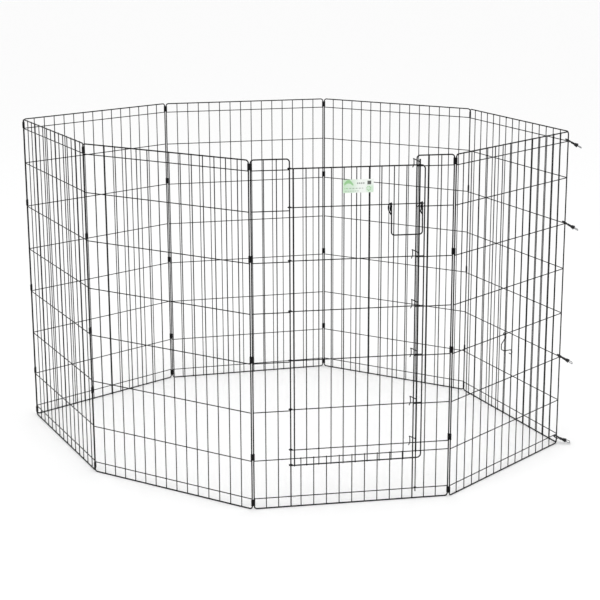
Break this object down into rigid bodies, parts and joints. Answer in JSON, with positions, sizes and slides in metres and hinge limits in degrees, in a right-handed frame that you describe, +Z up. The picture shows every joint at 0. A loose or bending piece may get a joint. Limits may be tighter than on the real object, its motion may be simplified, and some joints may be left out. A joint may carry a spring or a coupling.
{
  "type": "pet playpen",
  "caption": "Folding welded-wire exercise pen for pets, octagonal, with a full-height latched walk-in door, hinge clips and bolt-snap closure.",
  "frame": {"origin": "centre of the overall plan box, on the floor under the lower frame wires", "axes": "+Z up; the door panel faces -Y and runs along X; +Y goes into the pen from the door"},
  "size_m": [1.7912, 1.3416, 1.067],
  "materials": {
    "coated_wire": "satin black electro-coat",
    "clip_metal": "satin black",
    "snap_metal": "dark satin die cast",
    "snap_eye_metal": "zinc plated, dull",
    "label_card": "laminated card"
  },
  "bodies": {
    "panel_1": {"panel_1_frame": "coated_wire", "panel_1_verticals": "coated_wire", "panel_1_rows": "coated_wire", "hinge_clips_1_2": "clip_metal", "snap_1_hook": "snap_metal", "snap_2_hook": "snap_metal", "snap_3_hook": "snap_metal", "snap_4_hook": "snap_metal"},
    "panel_2": {"panel_2_frame": "coated_wire", "panel_2_verticals": "coated_wire", "panel_2_rows": "coated_wire", "hinge_clips_2_3": "clip_metal"},
    "panel_3": {"panel_3_frame": "coated_wire", "panel_3_verticals": "coated_wire", "panel_3_rows": "coated_wire", "hinge_clips_3_4": "clip_metal"},
    "panel_4": {"panel_4_frame": "coated_wire", "panel_4_verticals": "coated_wire", "panel_4_rows": "coated_wire", "hinge_clips_4_5": "clip_metal"},
    "panel_5": {"panel_5_frame": "coated_wire", "panel_5_verticals": "coated_wire", "panel_5_rows": "coated_wire", "hinge_clips_5_6": "clip_metal"},
    "panel_6": {"panel_6_frame": "coated_wire", "panel_6_verticals": "coated_wire", "panel_6_rows": "coated_wire", "hinge_clips_6_7": "clip_metal"},
    "panel_7": {"panel_7_frame": "coated_wire", "panel_7_hinge_side_verticals": "coated_wire", "panel_7_hinge_side_rows": "coated_wire", "panel_7_latch_side_verticals": "coated_wire", "panel_7_latch_side_rows": "coated_wire", "panel_7_sill_verticals": "coated_wire", "panel_7_sill_rows": "coated_wire", "panel_7_rod_guides": "coated_wire", "hinge_clips_7_8": "clip_metal"},
    "panel_8": {"panel_8_frame": "coated_wire", "panel_8_verticals": "coated_wire", "panel_8_rows": "coated_wire"},
    "snap_1_bolt": {"snap_1_bolt": "snap_metal"},
    "snap_1_eye": {"snap_1_eye": "snap_eye_metal"},
    "snap_2_bolt": {"snap_2_bolt": "snap_metal"},
    "snap_2_eye": {"snap_2_eye": "snap_eye_metal"},
    "snap_3_bolt": {"snap_3_bolt": "snap_metal"},
    "snap_3_eye": {"snap_3_eye": "snap_eye_metal"},
    "snap_4_bolt": {"snap_4_bolt": "snap_metal"},
    "snap_4_eye": {"snap_4_eye": "snap_eye_metal"},
    "door": {"door_frame": "coated_wire", "door_hinge_edge": "coated_wire", "door_rows": "coated_wire", "door_verticals": "coated_wire", "door_label": "label_card"},
    "latch": {"latch_rod": "coated_wire", "latch_hooks": "coated_wire"},
    "handle": {"door_handle": "coated_wire"},
    "link": {"link_hook": "coated_wire"}
  },
  "joints": [
    {"name": "fold_4_5", "type": "hinge", "parent": "panel_4", "child": "panel_5", "pos_m": [-0.89228, 0.29421, 0], "axis": [0, 0, 1], "range_deg": [0, 93.81]},
    {"name": "fold_5_6", "type": "hinge", "parent": "panel_5", "child": "panel_6", "pos_m": [-0.69499, -0.27634, 0], "axis": [0, 0, -1], "range_deg": [0, 201.08]},
    {"name": "fold_6_7", "type": "hinge", "parent": "panel_6", "child": "panel_7", "pos_m": [-0.2276, -0.65695, 0], "axis": [0, 0, 1], "range_deg": [0, 130.44]},
    {"name": "fold_7_8", "type": "hinge", "parent": "panel_7", "child": "panel_8", "pos_m": [0.3761, -0.65995, 0], "axis": [0, 0, -1], "range_deg": [0, 207.94]},
    {"name": "fold_3_4", "type": "hinge", "parent": "panel_4", "child": "panel_3", "pos_m": [-0.39008, 0.62754, 0], "axis": [0, 0, 1], "range_deg": [0, 199.15]},
    {"name": "fold_2_3", "type": "hinge", "parent": "panel_3", "child": "panel_2", "pos_m": [0.21234, 0.66687, 0], "axis": [0, 0, -1], "range_deg": [0, 127.47]},
    {"name": "fold_1_2", "type": "hinge", "parent": "panel_2", "child": "panel_1", "pos_m": [0.68663, 0.29489, 0], "axis": [0, 0, 1], "range_deg": [0, 205.5]},
    {"name": "door_swing", "type": "hinge", "parent": "panel_7", "child": "door", "pos_m": [-0.1156, -0.65695, 0.6], "axis": [0, 0, 1], "range_deg": [-120, 0]},
    {"name": "latch_lift", "type": "slide", "parent": "panel_7", "child": "latch", "axis": [0, 0, 1], "range_m": [0, 0.01]},
    {"name": "handle_flip", "type": "hinge", "parent": "door", "child": "handle", "pos_m": [0.22165, -0.66175, 0.924], "axis": [1, 0, 0], "range_deg": [-160, 0]},
    {"name": "link_swing", "type": "hinge", "parent": "panel_8", "child": "link", "pos_m": [0.59208, -0.49094, 0.458], "axis": [0.7887, 0.6148, 0], "range_deg": [-90, 2]},
    {"name": "snap_1_thumb", "type": "slide", "parent": "panel_1", "child": "snap_1_bolt", "axis": [0.8935, -0.2909, -0.342], "range_m": [0, 0.006], "stiffness_N_per_m": 300, "springref_m": -0.004},
    {"name": "snap_1_swivel", "type": "hinge", "parent": "panel_1", "child": "snap_1_eye", "pos_m": [0.87588, -0.29785, 0.01174], "axis": [0.8935, -0.2909, -0.342], "continuous": true},
    {"name": "snap_2_thumb", "type": "slide", "parent": "panel_1", "child": "snap_2_bolt", "axis": [0.8396, -0.2734, -0.4695], "range_m": [0, 0.006], "stiffness_N_per_m": 300, "springref_m": -0.004},
    {"name": "snap_2_swivel", "type": "hinge", "parent": "panel_1", "child": "snap_2_eye", "pos_m": [0.87426, -0.29733, 0.29412], "axis": [0.8396, -0.2734, -0.4695], "continuous": true},
    {"name": "snap_3_thumb", "type": "slide", "parent": "panel_1", "child": "snap_3_bolt", "axis": [0.8396, -0.2734, -0.4695], "range_m": [0, 0.006], "stiffness_N_per_m": 300, "springref_m": -0.004},
    {"name": "snap_3_swivel", "type": "hinge", "parent": "panel_1", "child": "snap_3_eye", "pos_m": [0.87426, -0.29733, 0.75012], "axis": [0.8396, -0.2734, -0.4695], "continuous": true},
    {"name": "snap_4_thumb", "type": "slide", "parent": "panel_1", "child": "snap_4_bolt", "axis": [0.8396, -0.2734, -0.4695], "range_m": [0, 0.006], "stiffness_N_per_m": 300, "springref_m": -0.004},
    {"name": "snap_4_swivel", "type": "hinge", "parent": "panel_1", "child": "snap_4_eye", "pos_m": [0.87426, -0.29733, 1.02162], "axis": [0.8396, -0.2734, -0.4695], "continuous": true}
  ],
  "couplings": [
    {"joint": "fold_4_5", "follows": "fold_3_4", "ratio": 0.47105},
    {"joint": "fold_5_6", "follows": "fold_3_4", "ratio": 1.0097},
    {"joint": "fold_6_7", "follows": "fold_3_4", "ratio": 0.65498},
    {"joint": "fold_7_8", "follows": "fold_3_4", "ratio": 1.0441},
    {"joint": "fold_2_3", "follows": "fold_3_4", "ratio": 0.64007},
    {"joint": "fold_1_2", "follows": "fold_3_4", "ratio": 1.0319}
  ]
}
